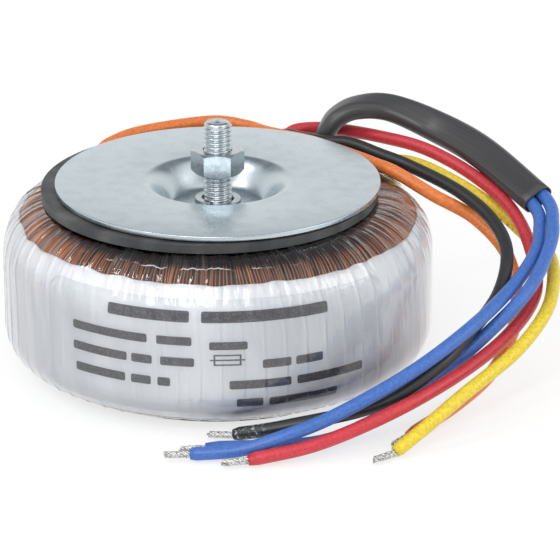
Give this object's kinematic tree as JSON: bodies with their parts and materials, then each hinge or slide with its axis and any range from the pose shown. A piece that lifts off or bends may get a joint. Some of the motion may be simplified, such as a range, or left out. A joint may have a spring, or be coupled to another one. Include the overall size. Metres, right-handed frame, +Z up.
{
  "type": "toroidal transformer",
  "caption": "Low round toroidal mains transformer in clear tape, with dished steel mounting plate, rubber pads, centre bolt and flying leads.",
  "frame": {"origin": "on the ring's axis, in the plane that the lower rubber pad rests on", "axes": "+Z up along the ring's axis and the bolt; +X to the side where the leads lie; -Y towards the lead ends"},
  "size_m": [0.096, 0.086, 0.0432],
  "materials": {
    "core_steel": "edges of the wound strip",
    "inner_tape": "glossy film",
    "copper": "enamelled wire, glossy",
    "fuse_case": "satin",
    "white_tape": "satin tape",
    "label_paper": "silver-grey, printed with plain bars",
    "clear_film": "clear tape, glossy, wound with laps",
    "rubber": "matt",
    "zinc_plate": "bright zinc, softly reflecting",
    "zinc_hardware": "bright zinc",
    "sleeve_grey": "satin",
    "lead_blue": "satin",
    "lead_red": "satin",
    "lead_black": "satin",
    "lead_yellow": "satin",
    "lead_orange": "satin",
    "tinned_copper": "tinned, twisted"
  },
  "bodies": {
    "root": {"core": "core_steel", "core_wrap": "inner_tape", "primary_winding": "copper", "thermal_fuse": "fuse_case", "fuse_sleeve": "inner_tape", "winding_barrier": "inner_tape", "secondary_winding": "copper", "side_band": "white_tape", "rating_label": "label_paper", "film_wrap": "clear_film", "lower_pad": "rubber", "upper_pad": "rubber", "mounting_plate": "zinc_plate", "bolt": "zinc_hardware", "head_washer": "zinc_hardware", "spring_washer": "zinc_hardware", "nut": "zinc_hardware", "primary_sleeve": "sleeve_grey", "lead_blue_1": "lead_blue", "lead_blue_2": "lead_blue", "lead_red": "lead_red", "lead_black": "lead_black", "lead_yellow": "lead_yellow", "lead_orange": "lead_orange", "strands_blue_1": "tinned_copper", "strands_blue_2": "tinned_copper", "strands_red": "tinned_copper", "strands_black": "tinned_copper", "strands_yellow": "tinned_copper", "strands_orange": "tinned_copper"}
  },
  "joints": []
}
